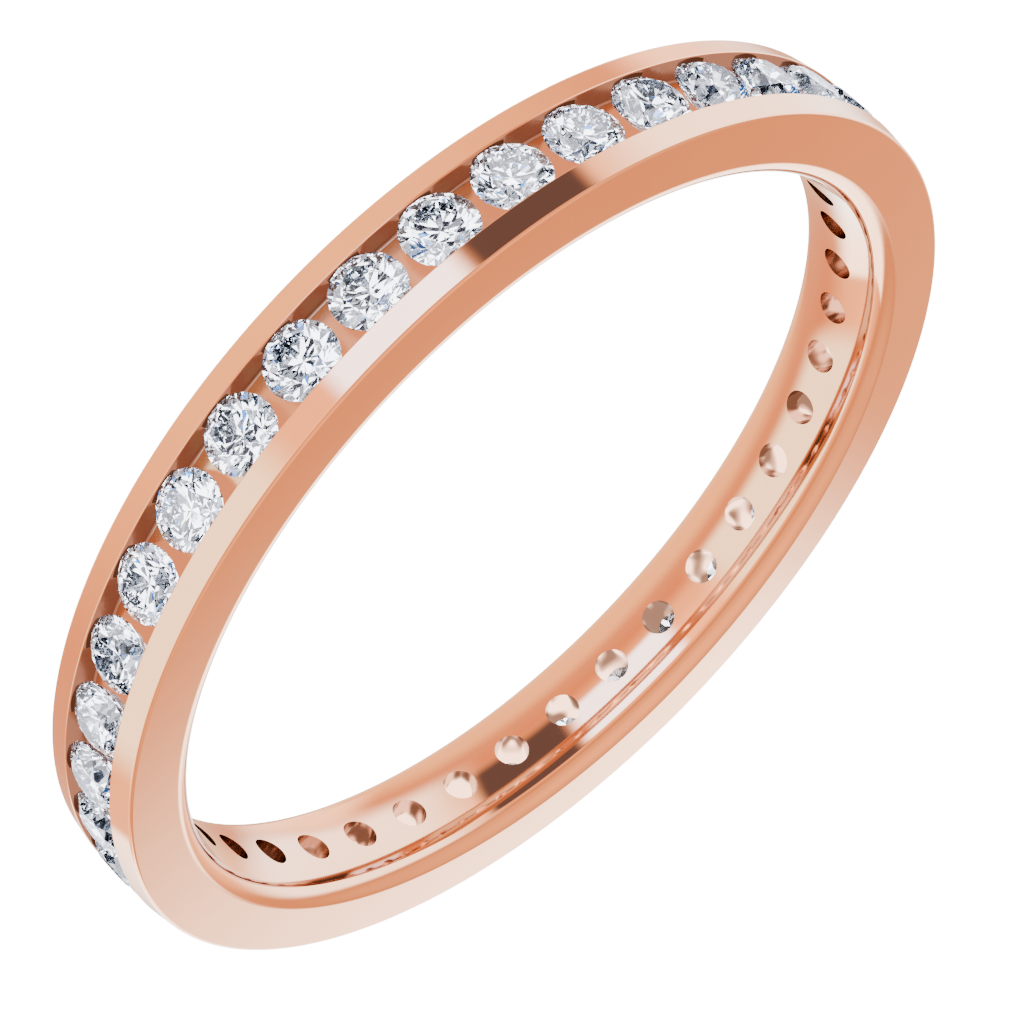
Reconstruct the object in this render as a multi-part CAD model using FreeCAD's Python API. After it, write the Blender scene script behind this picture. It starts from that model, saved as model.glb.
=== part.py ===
import FreeCAD, Part
import math
import os

# Ladies' channel-set eternity band, finger size 7. All sizes are in millimetres.
# The ring lies on one side face: Z is the finger axis, z = 0 is the lower face, and stone 1 sits on +X.

STONES = 38
PITCH = 360.0 / STONES

# Band cross-section, half of it, mirrored about the middle plane
WIDTH = 2.40
HALF = WIDTH / 2
BORE_R = 8.675            # 17.35 mm across, at the crest of the rounded inside
CROWN_R = 3.44            # crown of the rounded ("comfort fit") inside
FACE_IN_R = 9.205         # inner edge of the flat side face
RAIL_IN_R = 10.380        # rail top beside the channel
RAIL_OUT_R = 10.300       # rail top at the side face, before rounding
EDGE_ROUND = 0.075        # rounding between rail top and side face
CHANNEL_HALF = 0.665      # half the width between the channel's walls
LIP_ROUND = 0.02          # worn round on the channel's upper edges
FLOOR_R = 9.84            # channel floor
FLOOR_FILLET = 0.05

# Round brilliant stone, proportions as shares of its diameter
STONE_D = 1.50
TABLE = 0.57
CROWN_H = 0.150
GIRDLE_H = 0.030
PAVILION_H = 0.430
STAR_LENGTH = 0.50
LOWER_LENGTH = 0.77
GIRDLE_R = 10.150         # distance of the girdle's mid plane from the finger axis
SPIN_STEP = 17.0          # each stone was dropped in at its own angle

# Seats
PLAY = 0.012              # clearance between a stone and its seat
AZURE_R = 0.365           # open hole under each stone
POCKET_TOP = 0.105        # straight part of the wall pocket above the girdle


def point(a, r):
    """A point of the cross-section: a along the finger axis from mid width, r from the axis."""
    return FreeCAD.Vector(r, 0, HALF + a)


def arc_edge(centre, radius, start, end):
    """Arc about centre (a, r) between two points (a, r), taking the short way round."""
    mid_a = (start[0] + end[0]) / 2 - centre[0]
    mid_r = (start[1] + end[1]) / 2 - centre[1]
    scale = radius / math.hypot(mid_a, mid_r)
    middle = point(centre[0] + mid_a * scale, centre[1] + mid_r * scale)
    return Part.Arc(point(*start), middle, point(*end)).toShape()


def rounded(before, corner, after, radius):
    """Start, end and centre of the arc that rounds a corner of the section."""
    u = FreeCAD.Vector(before[0] - corner[0], before[1] - corner[1], 0).normalize()
    v = FreeCAD.Vector(after[0] - corner[0], after[1] - corner[1], 0).normalize()
    half = u.getAngle(v) / 2
    cut = radius / math.tan(half)
    middle = (u + v).normalize() * (radius / math.sin(half))
    start = (corner[0] + u.x * cut, corner[1] + u.y * cut)
    end = (corner[0] + v.x * cut, corner[1] + v.y * cut)
    centre = (corner[0] + middle.x, corner[1] + middle.y)
    return start, end, centre


def bore_arcs():
    """Crown and roll of the rounded inside: the roll meets both the crown and the side face smoothly."""
    rise = FACE_IN_R - BORE_R
    roll = (2 * CROWN_R * rise - HALF**2 - rise**2) / (2 * CROWN_R - 2 * HALF)
    tilt = math.asin((HALF - roll) / (CROWN_R - roll))
    meet = (CROWN_R * math.sin(tilt), BORE_R + CROWN_R * (1 - math.cos(tilt)))
    return roll, meet


def band_section():
    """The closed cross-section of the band as one wire."""
    roll, meet = bore_arcs()
    face_in = (HALF, FACE_IN_R)
    rail_out = (HALF, RAIL_OUT_R)
    rail_in = (CHANNEL_HALF, RAIL_IN_R)
    floor = (CHANNEL_HALF, FLOOR_R)
    edge = rounded(face_in, rail_out, rail_in, EDGE_ROUND)
    lip = rounded(rail_out, rail_in, floor, LIP_ROUND)
    root = rounded(rail_in, floor, (0, FLOOR_R), FLOOR_FILLET)

    half = [Part.makeLine(point(*face_in), point(*edge[0]))]
    for first, second in ((edge, lip), (lip, root)):
        radius = EDGE_ROUND if first is edge else LIP_ROUND
        half.append(arc_edge(first[2], radius, first[0], first[1]))
        half.append(Part.makeLine(point(*first[1]), point(*second[0])))
    half.append(arc_edge(root[2], FLOOR_FILLET, root[0], root[1]))
    half.append(arc_edge((HALF - roll, FACE_IN_R), roll, face_in, meet))

    plane = point(0, 0)
    other = [edge_shape.mirror(plane, FreeCAD.Vector(0, 0, 1)) for edge_shape in half]
    floor_line = Part.makeLine(point(-root[1][0], FLOOR_R), point(root[1][0], FLOOR_R))
    crown = arc_edge((0, BORE_R + CROWN_R), CROWN_R, (-meet[0], meet[1]), meet)
    return Part.Wire(Part.sortEdges(half + other + [floor_line, crown])[0])


def lathe(profile):
    """Solid of revolution about the radial line of stone 1, from (across, out) pairs."""
    points = [FreeCAD.Vector(out, across, HALF) for across, out in profile]
    face = Part.Face(Part.makePolygon(points + points[:1]))
    return face.revolve(FreeCAD.Vector(0, 0, HALF), FreeCAD.Vector(1, 0, 0), 360)


def seat_tool():
    """What is cut for one stone: open azure hole, pavilion seat and the pocket for the girdle."""
    radius = STONE_D / 2
    girdle_low = GIRDLE_R - GIRDLE_H * STONE_D / 2
    girdle_top = GIRDLE_R + GIRDLE_H * STONE_D / 2
    slope = PAVILION_H * STONE_D / radius
    drop = PLAY * math.hypot(1, slope)
    seat_out = girdle_low - slope * (radius - AZURE_R) - drop
    pocket_low = girdle_low - drop + slope * PLAY
    pocket_top = girdle_top + POCKET_TOP
    crown_slope = CROWN_H * STONE_D / (radius * (1 - TABLE))
    top_r = CHANNEL_HALF - 0.1
    closed = pocket_top + crown_slope * (radius + PLAY - top_r)
    return lathe([
        (0, BORE_R - 0.5),
        (AZURE_R, BORE_R - 0.5),
        (AZURE_R, seat_out),
        (radius + PLAY, pocket_low),
        (radius + PLAY, pocket_top),
        (top_r, closed),
        (0, closed),
    ])


def turned(shape, index):
    """A copy of a shape of stone 1, moved round to the place of another stone."""
    copy = shape.copy()
    copy.rotate(FreeCAD.Vector(0, 0, 0), FreeCAD.Vector(0, 0, 1), PITCH * index)
    return copy


def make_band():
    ring = Part.Face(band_section()).revolve(FreeCAD.Vector(0, 0, 0), FreeCAD.Vector(0, 0, 1), 360)
    tool = seat_tool()
    return ring.cut([turned(tool, i) for i in range(STONES)])


def stone_points():
    """Rings of corners of a brilliant about its own axis, girdle mid plane at height 0."""
    radius = STONE_D / 2
    top = GIRDLE_H * STONE_D / 2
    crown = CROWN_H * STONE_D / (1 - TABLE)
    pavilion = PAVILION_H * STONE_D
    near = math.cos(math.radians(22.5))
    chord = math.cos(math.radians(11.25))

    star = (TABLE * near + 1) / 2
    star_h = crown * (1 - star * near)
    lower = 1 - LOWER_LENGTH
    lower_h = pavilion * (1 - lower * near)
    crown_dip = star_h * (1 - chord) / (chord - star * chord)
    pavilion_rise = lower_h * (1 - chord) / (chord - lower * chord)

    def ring(share, height, count, start):
        step = 2 * math.pi / count
        return [
            FreeCAD.Vector(
                radius * share * math.cos(start + step * i),
                radius * share * math.sin(start + step * i),
                height,
            )
            for i in range(count)
        ]

    between = math.radians(22.5)
    upper = ring(1, 0, 32, 0)
    under = ring(1, 0, 32, 0)
    for i in range(32):
        upper[i].z = top - (crown_dip if i % 2 else 0)
        under[i].z = -top + (pavilion_rise if i % 2 else 0)
    return {
        "table": ring(TABLE, top + crown * (1 - TABLE), 8, 0),
        "star": ring(star, top + star_h, 8, between),
        "upper": upper,
        "under": under,
        "lower": ring(lower, -top - lower_h, 8, between),
        "culet": FreeCAD.Vector(0, 0, -top - pavilion),
    }


def facet(corners):
    return Part.Face(Part.makePolygon(corners + corners[:1]))


def make_stone():
    """One round brilliant: table, 8 stars, 8 kites, 16 upper halves, girdle, 16 lower halves, 8 mains."""
    p = stone_points()
    facets = [facet(p["table"])]
    for i in range(8):
        j = (i + 1) % 8
        g = 4 * i
        up = [p["upper"][(g + n) % 32] for n in range(-2, 5)]
        low = [p["under"][(g + n) % 32] for n in range(-2, 5)]
        facets.append(facet([p["table"][i], p["star"][i], p["table"][j]]))
        facets.append(facet([p["table"][i], p["star"][i - 1], up[2], p["star"][i]]))
        facets.append(facet([p["star"][i], up[2], up[3], up[4]]))
        facets.append(facet([p["star"][i], up[4], up[5], up[6]]))
        facets.append(facet([p["lower"][i], low[2], low[3], low[4]]))
        facets.append(facet([p["lower"][i], low[4], low[5], low[6]]))
        facets.append(facet([p["culet"], p["lower"][i - 1], low[2], p["lower"][i]]))
        for n in range(2, 6):
            facets.append(facet([up[n], up[n + 1], low[n + 1], low[n]]))
    return Part.Solid(Part.Shell(facets))


def place_stone(stone, index):
    """Spins the stone about its own axis, stands it out along +X and carries it to its place."""
    copy = stone.copy()
    origin = FreeCAD.Vector(0, 0, 0)
    copy.rotate(origin, FreeCAD.Vector(0, 0, 1), SPIN_STEP * index)
    copy.rotate(origin, FreeCAD.Vector(0, 1, 0), 90)
    copy.translate(FreeCAD.Vector(GIRDLE_R, 0, HALF))
    return turned(copy, index)


def save(name, shape):
    shape.exportStep(os.path.join("parts", name + ".step"))
    print(name, shape.isValid(), len(shape.Solids), round(shape.Volume, 4))


os.makedirs("parts", exist_ok=True)
save("band", make_band())
brilliant = make_stone()
for number in range(STONES):
    save("diamond_%02d" % (number + 1), place_stone(brilliant, number))
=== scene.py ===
import math

import bmesh
import bpy
from mathutils import Matrix, Vector


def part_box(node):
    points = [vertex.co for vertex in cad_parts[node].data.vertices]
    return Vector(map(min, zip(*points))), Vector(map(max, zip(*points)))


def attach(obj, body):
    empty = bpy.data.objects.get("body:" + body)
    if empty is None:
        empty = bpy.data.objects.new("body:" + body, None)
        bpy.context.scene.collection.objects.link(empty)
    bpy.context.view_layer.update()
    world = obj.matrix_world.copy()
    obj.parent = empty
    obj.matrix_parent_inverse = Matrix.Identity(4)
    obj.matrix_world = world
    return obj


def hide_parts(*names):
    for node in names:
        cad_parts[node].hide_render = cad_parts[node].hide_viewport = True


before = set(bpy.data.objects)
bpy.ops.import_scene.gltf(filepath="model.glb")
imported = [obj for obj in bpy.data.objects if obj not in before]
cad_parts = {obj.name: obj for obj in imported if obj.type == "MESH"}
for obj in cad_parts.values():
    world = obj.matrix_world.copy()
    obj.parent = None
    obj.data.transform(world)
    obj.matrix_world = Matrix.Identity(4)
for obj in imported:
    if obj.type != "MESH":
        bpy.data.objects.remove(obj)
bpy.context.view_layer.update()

MM = 0.001
STONES = sum(name.startswith("diamond_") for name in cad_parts)

# Band section in millimetres: a runs along the finger axis from mid width, r out from the axis.
HALF = 1.20
BORE_R = 8.675
CROWN_R = 3.44
FACE_IN_R = 9.205
RAIL_IN_R = 10.380
RAIL_OUT_R = 10.300
EDGE_ROUND = 0.075
CHANNEL_HALF = 0.665
LIP_ROUND = 0.02
FLOOR_R = 9.84
FLOOR_FILLET = 0.05

# Stones and their seats, in millimetres
STONE_R = 0.75
CROWN_SLOPE = 0.225 / 0.3225
GIRDLE_R = 10.150
GIRDLE_HALF = 0.0225
PAVILION_SLOPE = 0.645 / 0.75
PLAY = 0.012
HOLE_R = 0.365
POCKET_TOP = 0.105
# The cutter of a seat starts this far below the bore, and closes this far inside the channel's walls.
CUTTER_BELOW = 0.5
CUTTER_INSIDE = 0.1

# Fineness of the band's mesh: flats per stone, round a seat, and along each round of the section
STEPS_PER_STONE = 8
SEAT_STEPS = 72
CROWN_STEPS = 8
ROLL_STEPS = 12
EDGE_STEPS = 6
LIP_STEPS = 5
FILLET_STEPS = 4

# The camera: azimuth 0 looks along +Y, roll turns it about its own line of sight. Degrees and millimetres.
CAMERA_AZIMUTH = 1.354
CAMERA_ELEVATION = 26.13
CAMERA_ROLL = 133.37
CAMERA_DISTANCE = 82.29
CAMERA_LENS = 148.07
CAMERA_SENSOR = 36

# Studio light. Colour of the open studio at some elevations, in degrees, as shares of ROOM_WHITE.
ROOM_WHITE = 2.5
STUDIO = (
    (-90, (0.66, 0.59, 0.43)),
    (-48, (0.65, 0.55, 0.39)),
    (-37, (0.46, 0.31, 0.22)),
    (-30, (0.45, 0.28, 0.19)),
    (-17, (0.66, 0.51, 0.37)),
    (0, (0.84, 0.68, 0.52)),
    (16, (0.60, 0.46, 0.33)),
    (30, (0.40, 0.27, 0.18)),
    (46, (0.47, 0.37, 0.27)),
    (75, (0.60, 0.46, 0.34)),
)
# Soft panels: azimuth and elevation of the middle, width, height, soft edge across and up, colour.
PANELS = (
    (163, -2, 76, 62, 28, 12, (2.5, 3.3, 3.8)),
    (140, -40, 50, 14, 20, 8, (2.25, 2.1, 1.85)),
    (-134.5, -5, 31, 40, 6, 8, (0.19, 0.20, 0.25)),
    (-100, -6, 34, 27, 6, 5, (2.9, 4.6, 7.2)),
    (-24, -10, 79, 42, 14, 10, (2.15, 2.85, 2.85)),
    (67, 1.3, 54, 47.4, 5, 8, (3.1, 3.9, 4.2)),
)
# White behind the ring, for the camera alone
BACKDROP = 8.0
FLOOR_RADIUS = 0.25
FLOOR_SIDES = 96

# What the stones gather in place of the room: a patchwork of directions, as between many small lights. Each
# cell draws a brightness, as (draw, share of SPARKLE_WHITE). A second draw above BLUE_FROM tints it blue.
SPARKLE_CELLS = 5.2
SPARKLE = ((0.0, 0.015), (0.34, 0.13), (0.45, 0.47), (0.56, 1.0))
SPARKLE_WHITE = (4.8, 4.8, 5.2)
BLUE = (0.03, 0.15, 0.40)
BLUE_FROM = 0.935
# Share of it that shines back from the outside of a stone, without passing through
OUTER_SPARKLE = 0.55

# Rose gold, polished, and worn a shade darker; its roughness goes from the first to the second of POLISH.
ROSE_GOLD = (0.94, 0.43, 0.25, 1.0)
WORN_GOLD = (0.91, 0.405, 0.23, 1.0)
POLISH = (0.035, 0.075)
# Zones of the band with a painted tint, and the roughness that each adds. They are one alloy with the rest:
# the walls' and seats' darker tints are painted shade, the holes' paler tint is painted light, the floor's
# is a little less red.
ZONES = (
    ("floor", (0.84, 0.46, 0.29, 1.0), 0.16),
    ("wall", (0.46, 0.32, 0.27, 1.0), 0.20),
    ("seat", (0.13, 0.08, 0.06, 1.0), 0.40),
    ("hole", (0.92, 0.64, 0.52, 1.0), 0.05),
)
# Painted reflection: the colour that gold is mixed with where it is seen in other gold, and how much
PAINTED_PALE_REFLECTION = (0.47, 0.40, 0.38, 1.0)
PALE_SHARE = 0.8
# Painted grey that gold becomes where it is seen through a stone, in place of its own colour
PAINTED_GREY_THROUGH_STONE = (0.24, 0.26, 0.29, 1.0)

DIAMOND_IOR = 2.417
DIAMOND_TINTS = ((1, 1, 1, 1), (0.97, 0.985, 1, 1))
# Painted reflection of a stone: what it glows with in the gold's reflections, one colour above the channel's
# floor, painted glints below it
STONE_IN_GOLD = (1.1, 0.66, 0.49)
GLINTS = ((0.40, (0.15, 0.11, 0.09)), (0.48, (0.42, 0.32, 0.26)), (0.58, (1.0, 0.86, 0.75)))
GLINT_WHITE = 3.4

# Noise: features per metre, and how often finer ones are laid over them
GOLD_CLOUD = (900.0, 4.0)
DIAMOND_CLOUD = (400.0, 2.0)
GLINT_CLOUD = (2400.0, 0.0)

BOUNCES = 32
GLOSSY_BOUNCES = 16


def rounded(before, corner, after, radius):
    """Start, end and centre of the arc that rounds a corner of the section."""
    corner = Vector(corner)
    u = (Vector(before) - corner).normalized()
    v = (Vector(after) - corner).normalized()
    half = u.angle(v) / 2
    cut = radius / math.tan(half)
    centre = corner + (u + v).normalized() * (radius / math.sin(half))
    return corner + u * cut, corner + v * cut, centre


def arc_patch(centre, start, end, steps, sign):
    """A round stretch of section; its normal points away from the centre for sign 1, to it for -1."""
    centre = Vector(centre)
    u, v = Vector(start) - centre, Vector(end) - centre
    turn = math.atan2(u.x * v.y - u.y * v.x, u.dot(v))
    points = []
    for i in range(steps + 1):
        c, s = math.cos(turn * i / steps), math.sin(turn * i / steps)
        points.append(centre + Vector((u.x * c - u.y * s, u.x * s + u.y * c)))
    return points, lambda p: (p - centre).normalized() * sign


def line_patch(start, end, normal):
    """A straight stretch of section."""
    normal = Vector(normal).normalized()
    return [Vector(start), Vector(end)], lambda p: normal


def band_patches():
    """Half the section from the middle of the bore round to the middle of the channel floor."""
    rise = FACE_IN_R - BORE_R
    roll = (2 * CROWN_R * rise - HALF**2 - rise**2) / (2 * CROWN_R - 2 * HALF)
    tilt = math.asin((HALF - roll) / (CROWN_R - roll))
    meet = (CROWN_R * math.sin(tilt), BORE_R + CROWN_R * (1 - math.cos(tilt)))
    face_in, rail_out = (HALF, FACE_IN_R), (HALF, RAIL_OUT_R)
    rail_in, floor = (CHANNEL_HALF, RAIL_IN_R), (CHANNEL_HALF, FLOOR_R)
    edge = rounded(face_in, rail_out, rail_in, EDGE_ROUND)
    lip = rounded(rail_out, rail_in, floor, LIP_ROUND)
    root = rounded(rail_in, floor, (0, FLOOR_R), FLOOR_FILLET)
    slope = (RAIL_IN_R - RAIL_OUT_R) / (HALF - CHANNEL_HALF)
    return [
        arc_patch((0, BORE_R + CROWN_R), (0, BORE_R), meet, CROWN_STEPS, 1),
        arc_patch((HALF - roll, FACE_IN_R), meet, face_in, ROLL_STEPS, 1),
        line_patch(face_in, edge[0], (1, 0)),
        arc_patch(edge[2], edge[0], edge[1], EDGE_STEPS, 1),
        line_patch(edge[1], lip[0], (slope, 1)),
        arc_patch(lip[2], lip[0], lip[1], LIP_STEPS, 1),
        line_patch(lip[1], root[0], (-1, 0)),
        arc_patch(root[2], root[0], root[1], FILLET_STEPS, -1),
        line_patch(root[1], (0, FLOOR_R), (0, 1)),
    ]


def mirrored(patch):
    """The same stretch on the other side of mid width."""
    points, normal = patch

    def flip(p):
        return Vector((-p.x, p.y))

    return [flip(p) for p in reversed(points)], lambda p: flip(normal(flip(p)))


def seat_patches():
    """Wall of the cut under and round one stone, as (across, out) from the open hole up."""
    low, top = GIRDLE_R - GIRDLE_HALF, GIRDLE_R + GIRDLE_HALF
    drop = PLAY * math.hypot(1, PAVILION_SLOPE)
    seat = (HOLE_R, low - PAVILION_SLOPE * (STONE_R - HOLE_R) - drop)
    pocket = (STONE_R + PLAY, low - drop + PAVILION_SLOPE * PLAY)
    brow = (STONE_R + PLAY, top + POCKET_TOP)
    rise = CROWN_SLOPE * (brow[0] - CHANNEL_HALF + CUTTER_INSIDE)
    closed = (CHANNEL_HALF - CUTTER_INSIDE, brow[1] + rise)
    return [
        line_patch((HOLE_R, BORE_R - CUTTER_BELOW), seat, (-1, 0)),
        line_patch(seat, pocket, (-PAVILION_SLOPE, 1)),
        line_patch(pocket, brow, (-1, 0)),
        line_patch(brow, closed, (-CROWN_SLOPE, -1)),
    ]


def sweep(rows, patch_of, name):
    """Mesh between rows of corners, each face marked with the number of its patch."""
    mesh = bpy.data.meshes.new(name)
    width = len(rows[0])
    corners = [tuple(p * MM) for row in rows for p in row]
    faces, marks = [], []
    for i in range(len(rows) - 1):
        for j in range(len(patch_of)):
            k = (j + 1) % width
            faces.append((i * width + j, i * width + k, (i + 1) * width + k, (i + 1) * width + j))
            marks.append(patch_of[j])
    return mesh, corners, faces, marks


def solid(mesh, corners, faces, marks):
    """Fills the mesh, turns its faces outward and keeps the patch numbers as material indices."""
    mesh.from_pydata(corners, [], faces)
    for i in range(max(marks) + 1):
        mesh.materials.append(None)
    mesh.polygons.foreach_set("material_index", marks)
    shell = bmesh.new()
    shell.from_mesh(mesh)
    bmesh.ops.recalc_face_normals(shell, faces=shell.faces)
    shell.to_mesh(mesh)
    shell.free()
    piece = bpy.data.objects.new(mesh.name, mesh)
    bpy.context.scene.collection.objects.link(piece)
    return piece


def ring_sector(patches, cap):
    """The part of the plain ring that belongs to one stone, closed by a cap at each end."""
    outline, patch_of = [], []
    for number, (points, _) in enumerate(patches):
        outline += points[:-1]
        patch_of += [number] * (len(points) - 1)
    pitch = math.radians(360 / STONES)
    rows = []
    for i in range(STEPS_PER_STONE + 1):
        angle = pitch * (i / STEPS_PER_STONE - 0.5)
        rows.append([Vector((p.y * math.cos(angle), p.y * math.sin(angle), p.x)) for p in outline])
    mesh, corners, faces, marks = sweep(rows, patch_of, "sector")
    count = len(outline)
    faces += [tuple(range(count)), tuple(range(STEPS_PER_STONE * count, (STEPS_PER_STONE + 1) * count))]
    marks += [cap, cap]
    return solid(mesh, corners, faces, marks)


def seat_cutter(patches, first, cap):
    """What one seat takes away, turned about the stone's axis."""
    profile = [patches[0][0][0]] + [points[1] for points, _ in patches]
    rows = []
    for i in range(SEAT_STEPS + 1):
        angle = 2 * math.pi * i / SEAT_STEPS
        rows.append([Vector((p.y, p.x * math.cos(angle), p.x * math.sin(angle))) for p in profile])
    patch_of = [first + i for i in range(len(patches))]
    mesh, corners, faces, marks = sweep(rows[:-1] + rows[:1], patch_of, "seat")
    width = len(profile)
    last = SEAT_STEPS * width
    faces = [tuple(v - last if v >= last else v for v in face) for face in faces]
    faces.append(tuple(width * i for i in range(SEAT_STEPS)))
    faces.append(tuple(width * i + width - 1 for i in range(SEAT_STEPS)))
    marks += [cap, cap]
    return solid(mesh, corners[:last], faces, marks)


def cut(piece, tool):
    """piece less tool, as a new mesh."""
    boolean = piece.modifiers.new("seat", "BOOLEAN")
    boolean.operation = "DIFFERENCE"
    boolean.solver = "EXACT"
    boolean.material_mode = "INDEX"
    boolean.object = tool
    graph = bpy.context.evaluated_depsgraph_get()
    mesh = bpy.data.meshes.new_from_object(piece.evaluated_get(graph))
    for old in (piece, tool):
        bpy.data.objects.remove(old)
    return mesh


def make_band(middle):
    """The whole band, from one sector repeated round the ring, with the exact normals of its section."""
    half = band_patches()
    ring = half + [mirrored(patch) for patch in reversed(half)]
    seat = seat_patches()
    cap = len(ring) + len(seat)
    sector = cut(ring_sector(ring, cap), seat_cutter(seat, len(ring), cap))
    kept = [p for p in sector.polygons if p.material_index != cap]

    corners, faces, marks, normals = [], [], [], []
    for stone in range(STONES):
        turn = Matrix.Rotation(math.radians(360 / STONES * stone), 4, "Z")
        base = len(corners)
        corners += [turn @ v.co for v in sector.vertices]
        for face in kept:
            faces.append([base + v for v in face.vertices])
            marks.append(face.material_index)
            for v in face.vertices:
                place = sector.vertices[v].co / MM
                normals.append(turn @ surface_normal(ring, seat, face.material_index, place))
    mesh = bpy.data.meshes.new("rose_gold_band")
    mesh.from_pydata([c + middle for c in corners], [], faces)
    mesh.polygons.foreach_set("use_smooth", [True] * len(faces))
    # Where the gold's tint gets painted shade (walls, seats), painted light (holes) or a less red tint
    # (floor)
    zones = {
        "floor": (len(half) - 1, len(half)),
        "wall": (len(half) - 3, len(half) - 2, len(half) + 1, len(half) + 2),
        "seat": range(len(ring) + 1, cap),
        "hole": (len(ring),),
    }
    for zone, patches in zones.items():
        share = mesh.attributes.new(zone, "FLOAT", "FACE")
        share.data.foreach_set("value", [float(m in patches) for m in marks])
    mesh.normals_split_custom_set(normals)
    band = bpy.data.objects.new("rose_gold_band", mesh)
    bpy.context.scene.collection.objects.link(band)
    return band


def surface_normal(ring, seat, number, place):
    """The true normal of a patch of the first sector, at a place in millimetres from the ring's centre."""
    if number < len(ring):
        r = math.hypot(place.x, place.y)
        n = ring[number][1](Vector((place.z, r)))
        return Vector((place.x / r * n.y, place.y / r * n.y, n.x))
    across = Vector((0, place.y, place.z))
    n = seat[number - len(ring)][1](Vector((across.length, place.x)))
    return across.normalized() * n.x + Vector((n.y, 0, 0))


def new_material(name):
    material = bpy.data.materials.new(name)
    material.use_nodes = True
    tree = material.node_tree
    tree.nodes.clear()
    return material, tree


def node(tree, kind, inputs=None, **settings):
    """Adds a node, sets its properties, and sets or links its inputs."""
    made = tree.nodes.new(kind)
    for key, value in settings.items():
        setattr(made, key, value)
    for key, value in (inputs or {}).items():
        if isinstance(value, bpy.types.NodeSocket):
            tree.links.new(value, made.inputs[key])
        else:
            made.inputs[key].default_value = value
    return made


def calc(tree, operation, *values):
    """Arithmetic on single values."""
    return node(tree, "ShaderNodeMath", dict(enumerate(values)), operation=operation).outputs[0]


def scaled(tree, vector, factor):
    return node(tree, "ShaderNodeVectorMath", {0: vector, "Scale": factor}, operation="SCALE").outputs[0]


def product(tree, first, second):
    return node(tree, "ShaderNodeVectorMath", {0: first, 1: second}, operation="MULTIPLY").outputs[0]


def mixed(tree, share, first, second):
    """A colour between two surface colours."""
    return node(tree, "ShaderNodeMix", {0: share, 6: first, 7: second}, data_type="RGBA").outputs[2]


def mixed_light(tree, share, first, second):
    """A light between two lights, which may be brighter than 1."""
    return node(tree, "ShaderNodeMix", {0: share, 4: first, 5: second}, data_type="VECTOR").outputs[1]


def mixed_shader(tree, share, first, second):
    return node(tree, "ShaderNodeMixShader", {0: share, 1: first, 2: second}).outputs[0]


def cloud(tree, place, scale, detail):
    """Soft noise from 0 to 1."""
    noise = {"Vector": place, "Scale": scale, "Detail": detail}
    return node(tree, "ShaderNodeTexNoise", noise).outputs["Fac"]


def colour_ramp(tree, value, stops, interpolation):
    """The colour that stops of (place, colour) give a value from 0 to 1."""
    made = node(tree, "ShaderNodeValToRGB", {"Fac": value})
    ramp = made.color_ramp
    ramp.interpolation = interpolation
    for place, _ in stops[2:]:
        ramp.elements.new(place)
    # All the places come first: a stop that is moved past another changes the order.
    for stop, (place, _) in zip(ramp.elements, stops):
        stop.position = place
    for stop, (_, colour) in zip(ramp.elements, stops):
        stop.color = (*colour, 1)
    return made.outputs["Color"]


def gold_material():
    """Rose gold with zones of painted shade and painted light, painted paler where it is seen in gold and
    grey where it is seen through a stone.
    """
    material, tree = new_material("rose_gold")
    out = node(tree, "ShaderNodeOutputMaterial")
    place = node(tree, "ShaderNodeTexCoord").outputs["Object"]
    wear = cloud(tree, place, *GOLD_CLOUD)
    tint = mixed(tree, wear, ROSE_GOLD, WORN_GOLD)
    polish = {"Value": wear, "To Min": POLISH[0], "To Max": POLISH[1]}
    rough = node(tree, "ShaderNodeMapRange", polish).outputs["Result"]
    # Painted shade on walls and seats, painted light in the holes, a less red floor, each with added
    # roughness
    for zone, colour, added in ZONES:
        share = node(tree, "ShaderNodeAttribute", attribute_name=zone).outputs["Fac"]
        tint = mixed(tree, share, tint, colour)
        rough = calc(tree, "MULTIPLY_ADD", share, added, rough)
    path = node(tree, "ShaderNodeLightPath").outputs
    # The depth is 0 straight from the camera, and 1 or more after a bounce.
    again = calc(tree, "GREATER_THAN", path["Ray Depth"], 0.5)
    # Gold seen in other gold is painted paler: a painted reflection colour.
    tint = mixed(tree, calc(tree, "MULTIPLY", again, PALE_SHARE), tint, PAINTED_PALE_REFLECTION)
    # Gold seen through a stone is painted grey.
    tint = mixed(tree, path["Transmission Depth"], tint, PAINTED_GREY_THROUGH_STONE)
    metal = node(tree, "ShaderNodeBsdfPrincipled", {"Base Color": tint, "Metallic": 1.0, "Roughness": rough})
    tree.links.new(metal.outputs["BSDF"], out.inputs["Surface"])
    return material


def diamond_material():
    """Clear glass of a diamond's index, but a plain painted glow in the gold's reflections."""
    material, tree = new_material("diamond")
    out = node(tree, "ShaderNodeOutputMaterial")
    place = node(tree, "ShaderNodeTexCoord").outputs["Object"]
    tint = mixed(tree, cloud(tree, place, *DIAMOND_CLOUD), *DIAMOND_TINTS)
    clear = {"Color": tint, "Roughness": 0.0, "IOR": DIAMOND_IOR}
    glass = node(tree, "ShaderNodeBsdfGlass", clear).outputs["BSDF"]
    glow = node(tree, "ShaderNodeEmission", {"Color": reflected_stone(tree, place)}).outputs["Emission"]
    path = node(tree, "ShaderNodeLightPath").outputs
    in_gold = mixed_shader(tree, path["Transmission Depth"], glow, glass)
    tree.links.new(mixed_shader(tree, path["Is Glossy Ray"], glass, in_gold), out.inputs["Surface"])
    return material


def reflected_stone(tree, place):
    """What a stone glows with in a reflection, as painted light: glints below the channel's floor, one
    colour above it.
    """
    shade = colour_ramp(tree, cloud(tree, place, *GLINT_CLOUD), GLINTS, "LINEAR")
    flat = product(tree, place, (1, 1, 0))
    out_by = node(tree, "ShaderNodeVectorMath", {0: flat}, operation="LENGTH").outputs["Value"]
    above = calc(tree, "GREATER_THAN", out_by, FLOOR_R * MM)
    return mixed_light(tree, above, scaled(tree, shade, GLINT_WHITE), STONE_IN_GOLD)


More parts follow.
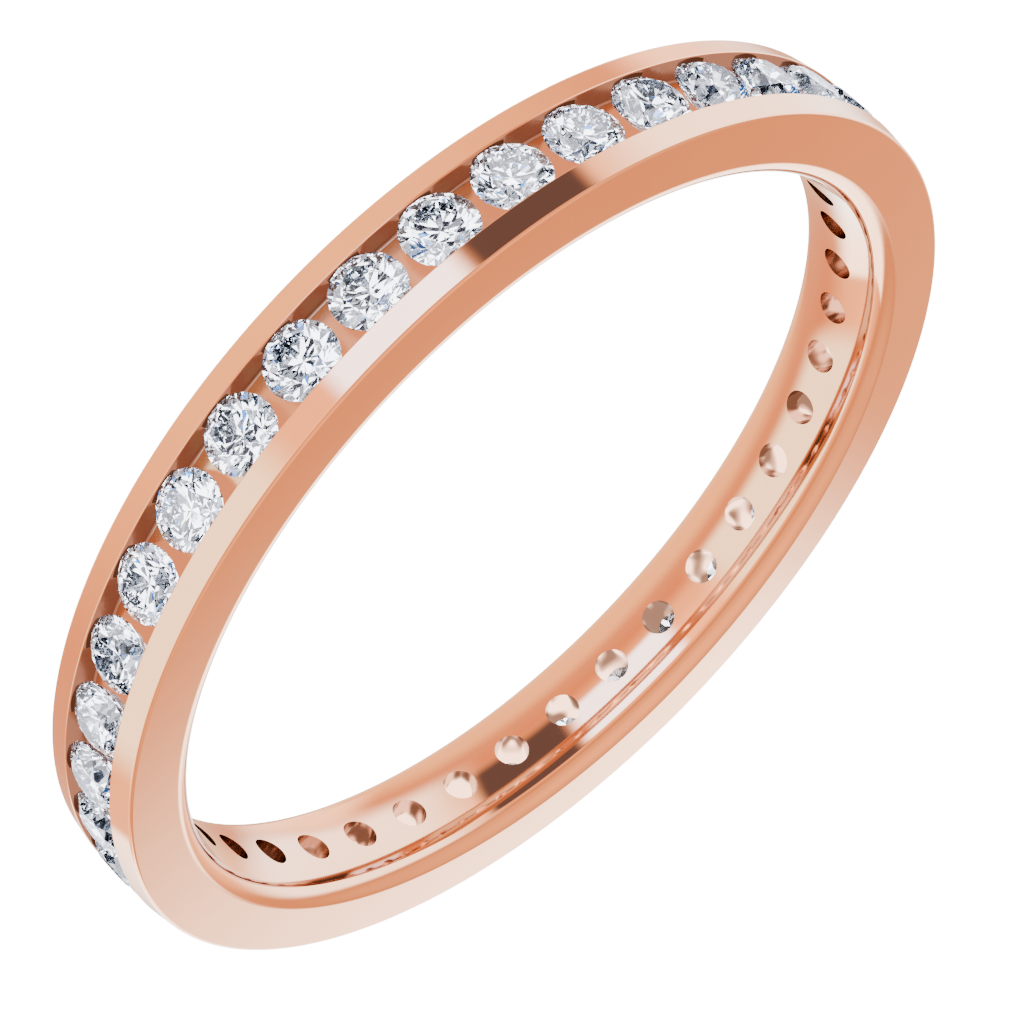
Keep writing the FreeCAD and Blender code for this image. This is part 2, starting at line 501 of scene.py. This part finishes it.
def soft_band(tree, value, half, soft):
    """1 where value is within half of 0, falling to 0 over a soft edge centred there."""
    edge = {"Value": calc(tree, "ABSOLUTE", value), "From Min": half + soft / 2, "From Max": half - soft / 2}
    return node(tree, "ShaderNodeMapRange", edge, interpolation_type="SMOOTHSTEP").outputs["Result"]


def room_light(tree):
    """Light for the metal: an open room with a few large panels."""
    way = node(tree, "ShaderNodeTexCoord").outputs["Generated"]
    part = node(tree, "ShaderNodeSeparateXYZ", {0: way}).outputs
    degrees = 180 / math.pi
    azimuth = calc(tree, "MULTIPLY", calc(tree, "ARCTAN2", part["Y"], part["X"]), degrees)
    elevation = calc(tree, "MULTIPLY", calc(tree, "ARCSINE", part["Z"]), degrees)
    rise = calc(tree, "MULTIPLY_ADD", elevation, 1 / 180, 0.5)
    stops = [(0.5 + degree / 180, colour) for degree, colour in STUDIO]
    light = scaled(tree, colour_ramp(tree, rise, stops, "EASE"), ROOM_WHITE)
    for middle, height, wide, tall, soft_wide, soft_tall, glow in PANELS:
        off = calc(tree, "WRAP", calc(tree, "SUBTRACT", azimuth, middle), 180.0, -180.0)
        up = calc(tree, "SUBTRACT", elevation, height)
        across = soft_band(tree, off, wide / 2, soft_wide)
        tallness = soft_band(tree, up, tall / 2, soft_tall)
        light = mixed_light(tree, calc(tree, "MULTIPLY", across, tallness), light, glow)
    return light


def stone_light(tree, inside):
    """Light for the stones: cells of sky, each white, grey or dark, and a few of them blue."""
    way = node(tree, "ShaderNodeTexCoord").outputs["Generated"]
    cells = node(tree, "ShaderNodeTexVoronoi", {"Vector": way, "Scale": SPARKLE_CELLS}).outputs["Color"]
    draw = node(tree, "ShaderNodeSeparateColor", {0: cells}).outputs
    grey = colour_ramp(tree, draw[0], [(place, (level,) * 3) for place, level in SPARKLE], "CONSTANT")
    blue = calc(tree, "GREATER_THAN", draw[1], BLUE_FROM)
    tint = mixed_light(tree, blue, (1, 1, 1), BLUE)
    light = product(tree, product(tree, grey, tint), SPARKLE_WHITE)
    return scaled(tree, light, calc(tree, "MAXIMUM", inside, OUTER_SPARKLE))


def studio_world():
    """A soft studio that gives the camera, the metal and the stones each a light of their own."""
    world = bpy.data.worlds.new("studio")
    world.use_nodes = True
    tree = world.node_tree
    tree.nodes.clear()
    out = node(tree, "ShaderNodeOutputWorld")
    path = node(tree, "ShaderNodeLightPath").outputs
    inside = calc(tree, "MINIMUM", path["Transmission Depth"], 1.0)
    # A stone's facets are sharp and reflect singular rays; the gold is rougher and doesn't.
    by_stone = calc(tree, "MAXIMUM", inside, path["Is Singular Ray"])
    light = mixed_light(tree, by_stone, room_light(tree), stone_light(tree, inside))
    light = mixed_light(tree, path["Is Camera Ray"], light, (BACKDROP,) * 3)
    glow = node(tree, "ShaderNodeBackground", {"Color": light}).outputs["Background"]
    tree.links.new(glow, out.inputs["Surface"])
    bpy.context.scene.world = world


def make_floor(height):
    """A floor under the ring: plain white from above, clear from below, without reflections or shadow."""
    material, tree = new_material("floor")
    out = node(tree, "ShaderNodeOutputMaterial")
    plain = {"Color": (1, 1, 1, 1), "Strength": BACKDROP}
    white = node(tree, "ShaderNodeEmission", plain).outputs["Emission"]
    clear = node(tree, "ShaderNodeBsdfTransparent").outputs["BSDF"]
    under = node(tree, "ShaderNodeNewGeometry").outputs["Backfacing"]
    tree.links.new(mixed_shader(tree, under, white, clear), out.inputs["Surface"])
    mesh = bpy.data.meshes.new("floor")
    shape = bmesh.new()
    place = Matrix.Translation((0, 0, height))
    bmesh.ops.create_circle(shape, cap_ends=True, segments=FLOOR_SIDES, radius=FLOOR_RADIUS, matrix=place)
    shape.to_mesh(mesh)
    shape.free()
    mesh.materials.append(material)
    floor = bpy.data.objects.new("floor", mesh)
    bpy.context.scene.collection.objects.link(floor)
    floor.visible_glossy = False
    floor.visible_transmission = False
    floor.visible_diffuse = False
    floor.visible_shadow = False


def make_camera(target):
    data = bpy.data.cameras.new("camera")
    data.lens = CAMERA_LENS
    data.sensor_width = CAMERA_SENSOR
    data.clip_start = MM
    camera = bpy.data.objects.new("camera", data)
    azimuth, elevation = math.radians(CAMERA_AZIMUTH), math.radians(CAMERA_ELEVATION)
    back = Vector((
        math.sin(azimuth) * math.cos(elevation),
        -math.cos(azimuth) * math.cos(elevation),
        math.sin(elevation),
    ))
    look = (-back).to_track_quat("-Z", "Y").to_matrix().to_4x4()
    roll = Matrix.Rotation(math.radians(CAMERA_ROLL), 4, "Z")
    camera.matrix_world = Matrix.Translation(target + back * CAMERA_DISTANCE * MM) @ look @ roll
    bpy.context.scene.collection.objects.link(camera)
    bpy.context.scene.camera = camera


low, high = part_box("band")
centre = Vector((0, 0, (low.z + high.z) / 2))

band = make_band(centre)
band.data.materials.clear()
band.data.materials.append(gold_material())
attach(band, "root")
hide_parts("band")

diamond = diamond_material()
for name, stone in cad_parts.items():
    if name.startswith("diamond_"):
        stone.material_slots[0].material = diamond

make_floor(low.z)
studio_world()
make_camera(centre)

scene = bpy.context.scene
scene.view_settings.view_transform = "AgX"
scene.view_settings.look = "AgX - Medium High Contrast"
scene.cycles.max_bounces = BOUNCES
scene.cycles.transmission_bounces = BOUNCES
scene.cycles.glossy_bounces = GLOSSY_BOUNCES
scene.cycles.sample_clamp_indirect = 0
